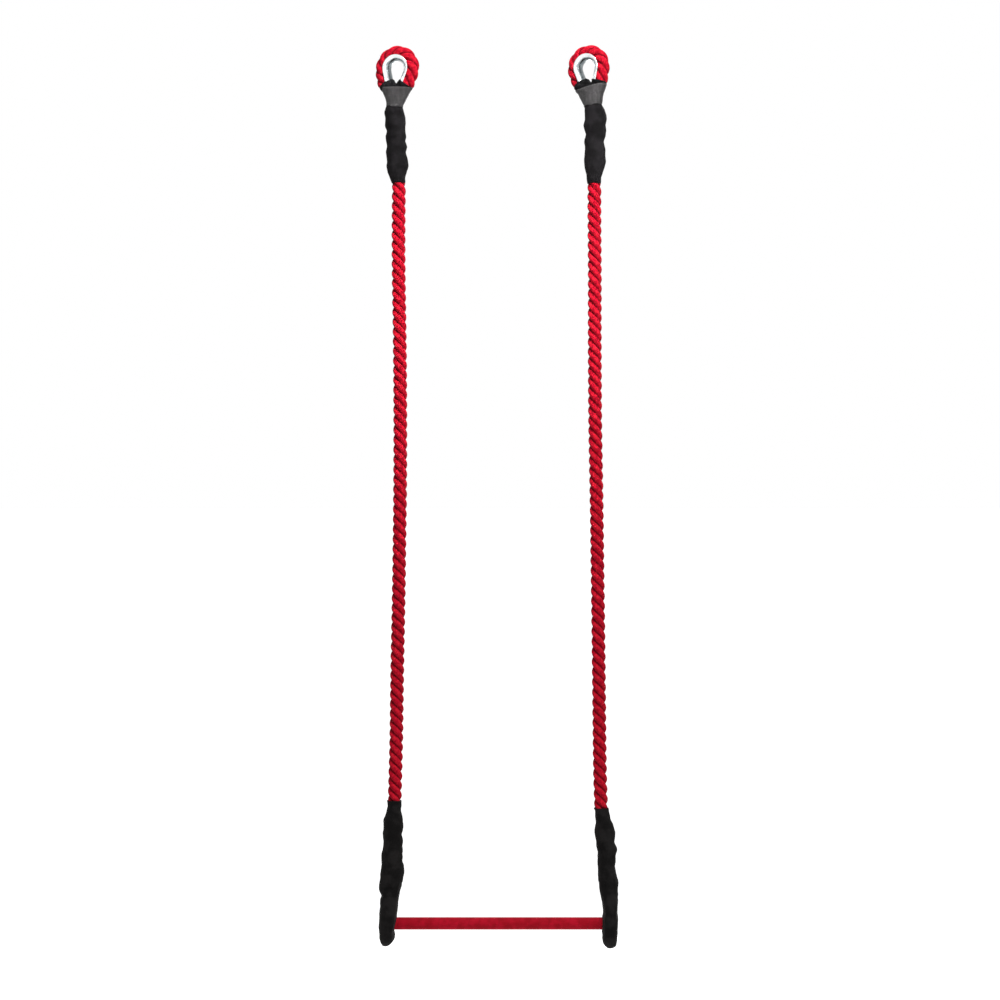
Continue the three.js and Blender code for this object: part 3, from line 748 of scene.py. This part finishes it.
# Lower covers: black cotton bags drawn up over the bar's ends, the loops and the splices
# above them. They are open at the top, closed below, and have a hole for the bar.
cover_black = cloth_finish("cover_cloth", rgb(9, 8, 8), rgb(37, 35, 35), 0.0012)
bar_drop = 2068
cover_edges = {
    "left": ([(1773, -266.6), (1786, -264.6), (1801, -268.7), (1815, -273.8), (1831, -275.5),
              (1839, -275.1), (1851, -277.0), (1870, -274.7), (1882, -275.2), (1897, -280.4),
              (1916, -278.7), (1935, -280.9), (1952, -282.3), (1966, -284.8), (1988, -284.5),
              (2000, -278.0), (2010, -282.0), (2036, -284.0), (2074, -286.1), (2092, -284.4),
              (2101, -284.4), (2109, -283.8), (2116, -281.8), (2121.5, -277.6)],
             [(1773, -231.4), (1785, -231.2), (1796, -232.7), (1810, -229.8), (1837, -226.3),
              (1846, -228.7), (1854, -231.9), (1870, -227.5), (1881, -230.5), (1892, -228.5),
              (1916, -229.4), (1930, -224.4), (1940, -224.3), (1952, -227.1), (1966, -228.6),
              (1988, -235.0), (2005, -237.9), (2034, -240.4), (2048, -242.4), (2060, -243.6),
              (2072, -246.2), (2079, -248.0), (2086, -250.2), (2095, -247.6), (2105, -248.8),
              (2112.5, -254.0), (2118, -258.6), (2121.5, -263.4)]),
    "right": ([(1791, 229.6), (1798, 233.0), (1812, 233.0), (1825, 235.2), (1842, 231.5),
               (1863, 233.7), (1882, 235.4), (1897, 239.6), (1926, 238.8), (1952, 239.1),
               (1964, 239.7), (1974, 242.2), (1993, 244.5), (2012, 248.8), (2036, 252.9),
               (2046, 252.4), (2055, 250.2), (2070, 249.4), (2087, 249.7), (2103, 250.0),
               (2113, 251.4), (2121, 255.4), (2126.5, 261.6)],
              [(1791, 265.5), (1801, 266.9), (1808, 268.8), (1815, 268.9), (1832, 278.1),
               (1846, 281.1), (1861, 281.6), (1875, 280.0), (1885, 285.0), (1892, 286.2),
               (1904, 283.0), (1921, 282.7), (1930, 281.1), (1945, 283.8), (1964, 287.7),
               (1978, 288.7), (2000, 288.1), (2024, 287.4), (2041, 286.0), (2055, 287.6),
               (2072, 287.8), (2096, 286.3), (2105, 285.8), (2112, 285.0), (2118, 283.6),
               (2122.5, 281.2), (2126.5, 276.8)]),
}
cover_depths = [(1773, 16.9), (1796, 18.0), (1818, 21.6), (1852, 24.2), (1895, 25.4),
                (1930, 26.4), (1962, 28.4), (1986, 31.8), (2010, 37.6), (2034, 46.6),
                (2052, 51.6), (2068, 53.2), (2080, 51.9), (2092, 47.6), (2104, 39.2),
                (2112, 29.6), (2118, 19.0), (2121.5, 8.0)]
# folds on the front: the two ends of each, its width and its depth, in millimetres
cover_folds = {
    "left": [((-281, 1984), (-258, 1982), 4, 1.8), ((-246, 1995), (-268, 2019), 5, 2.0),
             ((-236, 1930), (-262, 1950), 7, 1.4), ((-270, 1850), (-240, 1872), 8, 1.2)],
    "right": [((264, 1960), (287, 1961), 4, 1.8), ((248, 1978), (282, 1979), 4.5, 1.6),
              ((268, 1832), (277, 1925), 6, 1.8), ((240, 1900), (262, 1884), 7, 1.2)],
}


def off_segment(x, drop, start, end):
    """How far a point of the front view is from a fold's line."""
    point, a, b = Vector((x, drop)), Vector(start), Vector(end)
    share = max(0, min(1, (point - a).dot(b - a) / (b - a).length_squared))
    return (point - a.lerp(b, share)).length


for side, line in rope_lines.items():
    at = between_edges(cover_edges[side], 1.6)
    top, bottom = cover_edges[side][0][0][0], cover_edges[side][0][-1][0]
    depth = smoothed(*zip(*cover_depths), 4, 500)
    rings = []
    x, half_width = at(top)
    rings.append((x, 0, top - 0.6, half_width - 0.7, half_width - 0.7))
    for drop in [*np.arange(top, 2100, 2.8), *np.linspace(2101, bottom, 12)]:
        x, half_width = at(drop)
        lift = max(0, min(1, (drop - top) / 30))
        share = drop if drop < 2092 else 2092 + (drop - 2092) * 29.5 / (bottom - 2092)
        half_depth = half_width + (np.interp(share, *depth) - half_width) * lift
        rings.append((x, 0, drop, half_width, half_depth))
    cover = loft(rings, 96)
    # closed underneath
    low = min(vert.co.z for vert in cover.verts)
    rim = [e for e in cover.edges if e.is_boundary and all(
        v.co.z < low + 0.01 for v in e.verts)]
    bmesh.ops.holes_fill(cover, edges=rim, sides=0)
    base = [f for f in cover.faces if len(f.verts) > 4]
    bmesh.ops.inset_individual(cover, faces=base, thickness=2.5, depth=0.8)
    # the hole that the bar goes through, hemmed
    inner = [f for f in cover.faces
             if (f.calc_center_median().x - at(bar_drop)[0]) * line["out"] < -4
             and hypot(f.calc_center_median().y, f.calc_center_median().z + bar_drop) < 17.1]
    bmesh.ops.delete(cover, geom=inner, context="FACES")
    ring = {v for e in cover.edges if e.is_boundary for v in e.verts
            if hypot(v.co.y, v.co.z + bar_drop) < 30}
    for vert in ring:
        away = Vector((0, vert.co.y, vert.co.z + bar_drop)).normalized() * 15.5
        vert.co.y, vert.co.z = away.y, away.z - bar_drop
    rim = [e for e in cover.edges if e.is_boundary and all(v in ring for v in e.verts)]
    hem = bmesh.ops.extrude_edge_only(cover, edges=rim)["geom"]
    for vert in hem:
        if isinstance(vert, bmesh.types.BMVert):
            vert.co.x += line["out"] * 5
    for vert in cover.verts:
        drop = -vert.co.z
        x, half_width = at(min(max(drop, top), bottom))
        free = min(1, max(0, (drop - top - 2) / 16))
        if vert not in ring and hypot(vert.co.y, drop - bar_drop) > 15:
            ruffle(vert, x, 1.8 * free, 0.055, 9.1 * line["out"])
            if vert.co.y < 0:
                for start, end, width, deep in cover_folds[side]:
                    away = off_segment(vert.co.x, drop, start, end)
                    vert.co.y += 1.6 * deep * exp(-(away / width) ** 2)
        vert.co /= 1000
    name = f"{side}_lower_cover"
    cover = piece(f"{name}_bag", cover, cover_black, "cloth", name)
    wall = cover.modifiers.new("thickness", "SOLIDIFY")
    wall.thickness, wall.offset = 0.001, -1
    start = -top / 1000
    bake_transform(cover, f"{side}_line", f"{side}_loop", start=(0, 0, start),
             end=(0, 0, start - 0.045))


# Bar loops: each rope taken round the bar and spliced back into itself above it, the splice
# as thick as two ropes at its foot and tapering upwards. The covers hide them.
bend_radius, loop_taper = 34, radians(18)
for side, line in rope_lines.items():
    at = between_edges(cover_edges[side])
    depth = smoothed(*zip(*cover_depths), 4, 500)
    turn = pi / 2 + loop_taper
    leg_length = 46
    half_loop = bend_radius * turn + leg_length
    loop = strands(2 * half_loop / 24, 0.3)
    for vert in loop.verts:
        along = -vert.co.z * 24 - half_loop
        bend = max(-turn, min(turn, along / bend_radius))
        past = along - bend * bend_radius
        outwards = bend_radius + vert.co.x * 1000
        deep = outwards * sin(bend) + past * cos(bend)
        drop = bar_drop + outwards * cos(bend) - past * sin(bend)
        x, half_width = at(min(drop, 2108))
        room = np.interp(drop, *depth) - 6
        deep = max(-room, min(room, deep))
        wide = min(1000, (half_width - 3.5) / 0.017)
        vert.co = ((x + vert.co.y * wide) / 1000, deep / 1000, -drop / 1000)
    top, bottom = cover_edges[side][0][0][0] + 22, 2016
    splice = strands(9, 0.5)
    for vert in splice.verts:
        drop = top - vert.co.z / 9 * (bottom - top)
        x, half_width = at(drop)
        half_depth = max(half_width, np.interp(drop, *depth))
        swell = min(1, 0.55 + (drop - top) / 60)
        wide, deep = (half_width - 5.5) / 17 * swell, (half_depth - 8) / 17 * swell
        vert.co = (vert.co.x * wide + x / 1000, vert.co.y * deep, -drop / 1000)
    joined = bpy.data.meshes.new("splice")
    splice.to_mesh(joined)
    splice.free()
    loop.from_mesh(joined)
    name = f"{side}_bar_loop"
    loop = piece(f"{name}_laid", loop, red_rope, "rope", name)
    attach(loop, f"{side}_loop")


# Splice padding: grey cotton wadding wrapped round each lower splice, to fill out the cover.
def wadding_finish():
    made = Finish("wadding", 0.95, {"Sheen Weight": 0.2, "Specular IOR Level": 0.2})
    place = made.place()
    tufts, lint = made.grain(place, 120, 4.0), made.grain(place, 700, 3.0)
    colour = made.tint(tufts.between(0.35, 0.65), rgb(56, 55, 57), rgb(88, 86, 88))
    return made.finish(colour, tufts * 0.7 + lint * 0.3, 0.0012)


wadding = wadding_finish()
for side, line in rope_lines.items():
    at = between_edges(cover_edges[side])
    depth = smoothed(*zip(*cover_depths), 4, 500)
    rings = []
    for drop in range(1838, 1986, 7):
        x, half_width = at(drop)
        rings.append((x, 0, drop, half_width - 3.4, np.interp(drop, *depth) - 5.6))
    padding = loft(rings)
    for vert in padding.verts:
        vert.co /= 1000
    name = f"{side}_splice_padding"
    padding = piece(f"{name}_wadding", padding, wadding, "padding", name)
    wall = padding.modifiers.new("thickness", "SOLIDIFY")
    wall.thickness, wall.offset = 0.0014, -1
    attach(padding, f"{side}_loop")


# Chafe sleeves: strips of brown leather rolled round the bar inside each loop, so that the
# rope doesn't wear on the steel.
def leather_finish():
    made = Finish("leather", 0.62, {"Specular IOR Level": 0.4})
    place = made.place()
    pores = made.node("ShaderNodeTexVoronoi", {"feature": "DISTANCE_TO_EDGE"},
                      {"Vector": place, "Scale": 900.0})
    stains = made.grain(place, 60, 4.0)
    colour = made.tint(stains.between(0.3, 0.7), rgb(74, 45, 28), rgb(112, 74, 48))
    colour = made.tint((1 - pores.between(0.0, 0.12)) * 0.5, colour, rgb(44, 26, 16))
    return made.finish(colour, pores.between(0.0, 0.2) * 0.6 + stains * 0.4, 0.0003)


leather = leather_finish()
for side, line in rope_lines.items():
    low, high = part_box(f"{side}_chafe_sleeve")
    (low if side == "right" else high).x += 0.0055 * line["out"]
    liner = bmesh.new()
    bmesh.ops.create_circle(liner, segments=64, radius=0.0168)
    edges, reach = list(liner.edges), high.x - low.x
    for step in range(12):
        grown = bmesh.ops.extrude_edge_only(liner, edges=edges)["geom"]
        for vert in grown:
            if isinstance(vert, bmesh.types.BMVert):
                vert.co.z = (step + 1) / 12 * reach
        edges = [e for e in grown if isinstance(e, bmesh.types.BMEdge) and e.is_boundary]
    place = Matrix.Translation((low.x, 0, -bar_drop / 1000)) @ Matrix.Rotation(pi / 2, 4, "Y")
    bmesh.ops.transform(liner, matrix=place, verts=liner.verts)
    name = f"{side}_chafe_sleeve"
    liner = piece(f"{name}_leather", liner, leather, "leather", name)
    wall = liner.modifiers.new("thickness", "SOLIDIFY")
    wall.thickness, wall.offset = 0.0034, -1
    bevel = liner.modifiers.new("edges", "BEVEL")
    bevel.width, bevel.segments, bevel.limit_method = 0.0006, 2, "ANGLE"
    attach(liner, f"{side}_loop")


# Bar ends: the plain steel tube, a black plug in each of its ends, and the bolt and washer
# that keep the loop on it.
def metal_finish():
    made = Finish("steel", 0.35, {"Metallic": 1.0})
    place = made.place()
    drawn = made.grain(place, 240, 3.0, (0.04, 1, 1))
    spots = made.grain(place, 90, 4.0)
    colour = made.tint(drawn, rgb(142, 146, 150), rgb(176, 180, 183))
    colour = made.tint(spots.between(0.58, 0.75) * 0.5, colour, rgb(96, 92, 88))
    return made.finish(colour, drawn * 0.6 + spots * 0.4, 0.0001, 0.26 + drawn * 0.24)


def plug_finish():
    made = Finish("plug", 0.5, {"Specular IOR Level": 0.5})
    grit = made.grain(made.place(), 1100, 2.0)
    scuffs = made.grain(made.place(), 130, 4.0)
    colour = made.tint(scuffs.between(0.5, 0.75), rgb(22, 22, 24), rgb(58, 58, 60))
    return made.finish(colour, grit * 0.7 + scuffs * 0.3, 0.00012, 0.42 + scuffs * 0.2)


steel, plastic = metal_finish(), plug_finish()
for name, material in (("bar_tube", steel), ("left_end_bolt", steel), ("right_end_bolt", steel),
                       ("left_end_washer", steel), ("right_end_washer", steel),
                       ("left_end_plug", plastic), ("right_end_plug", plastic)):
    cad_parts[name].data.materials.clear()
    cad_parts[name].data.materials.append(material)


# Bar tape: red cotton grip tape, wound in a spiral over the steel tube from cover to cover.
def grip_finish():
    made = Finish("grip", 0.8, {"Sheen Weight": 0.05, "Specular IOR Level": 0.15})
    lay = made.along()
    across, down = made.axis(lay, "X"), made.axis(lay, "Y")
    place = made.place()
    turn = (down / 0.024 + across).part()
    edge = turn.between(0.0, 0.07)
    threads = (down * (pi / 0.0011)).wave() * (across * (pi * 80)).wave()
    worn = made.grain(place, 55, 4.0)
    colour = made.tint(worn.between(0.35, 0.7), rgb(174, 0, 28), rgb(200, 9, 42))
    colour = made.tint((1 - edge) * 0.55, colour, rgb(120, 0, 20))
    return made.finish(colour, edge * 0.5 + turn * 0.3 + threads * 0.1 + worn * 0.3, 0.0007)


bar_reach, tape_radius = 0.2515, 0.0148
bar = bmesh.new()
column = bar.verts.layers.float.new("column")
row = bar.verts.layers.float.new("row")
ring = bmesh.ops.create_circle(bar, segments=64, radius=tape_radius)["verts"]
for place, vert in enumerate(ring):
    vert[column] = place
edges = list(bar.edges)
for step in range(1, 201):
    grown = bmesh.ops.extrude_edge_only(bar, edges=edges)["geom"]
    for vert in grown:
        if isinstance(vert, bmesh.types.BMVert):
            vert.co.z = step / 200 * 2 * bar_reach
            vert[row] = vert.co.z
    edges = [e for e in grown if isinstance(e, bmesh.types.BMEdge) and e.is_boundary]
lay_map(bar, 64, 64, 1)
turned = Matrix.Translation((-bar_reach, 0, -bar_drop / 1000)) @ Matrix.Rotation(pi / 2, 4, "Y")
bmesh.ops.transform(bar, matrix=turned, verts=bar.verts)
bar = piece("bar_grip_tape", bar, grip_finish(), "grip", "bar_tape")
wall = bar.modifiers.new("thickness", "SOLIDIFY")
wall.thickness, wall.offset = 0.0009, -1
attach(bar, "bar")


# Floor and light: a pale studio floor under the bar, soft lamps in front, above and to the
# right, one behind, and a white surround.
class Surround(Finish):
    """The world's light under construction."""

    def __init__(self, world):
        self.tree = world.node_tree
        self.shader = self.tree.nodes["Background"]


def seen(made):
    """1 where the camera sees a thing, by itself or in metal, and 0 for the light it gives."""
    rays = [made.node("ShaderNodeLightPath", {}, {}, f"Is {kind} Ray")
            for kind in ("Camera", "Glossy", "Transmission")]
    return rays[0].sum("MAXIMUM", rays[0].sum("MAXIMUM", *rays[:2]), rays[2])


floor_finish = Finish("floor", 0.9, {"Base Color": (0.86, 0.86, 0.86, 1),
                                     "Emission Color": (1, 1, 1, 1)})
away = floor_finish.node("ShaderNodeVectorMath", {"operation": "LENGTH"},
                         {0: floor_finish.place()}, "Value")
glow = (0.64 + away.between(1.5, 6) * 0.26) * seen(floor_finish)
floor_finish.feed(floor_finish.shader.inputs["Emission Strength"], glow)
ground = bmesh.new()
bmesh.ops.create_grid(ground, x_segments=1, y_segments=1, size=400)
for vert in ground.verts:
    vert.co.z = -2.6
sheet = bpy.data.meshes.new("floor")
ground.to_mesh(sheet)
ground.free()
sheet.materials.append(floor_finish.material)
floor_piece = bpy.data.objects.new("floor", sheet)
scene.collection.objects.link(floor_piece)

world = bpy.data.worlds.new("studio")
scene.world = world
world.use_nodes = True
surround = Surround(world)
surround.shader.inputs["Color"].default_value = (1, 1, 1, 1)
surround.feed(surround.shader.inputs["Strength"], 0.2 + seen(surround) * 0.8)

for name, place, aim, size, power in (
        ("key", (0.5, -1.6, 1.9), (0, 0, -0.9), 1.0, 88),
        ("upper", (0.9, -2.4, 0.6), (0, 0, -0.46), 0.5, 2.4),
        ("fill", (1.6, -2.8, -1.2), (0, 0, -2.0), 1.8, 15.6),
        ("back", (0.3, 3.2, -0.5), (0, 0, -1.0), 1.2, 55)):
    lamp = bpy.data.lights.new(name, "AREA")
    lamp.shape = "DISK"
    lamp.size = size
    lamp.energy = power
    lamp.spread = radians(31) if name == "upper" else pi
    made = bpy.data.objects.new(name, lamp)
    made.location = place
    made.rotation_euler = (Vector(aim) - Vector(place)).to_track_quat("-Z", "Y").to_euler()
    scene.collection.objects.link(made)

scene.view_settings.view_transform = "Standard"
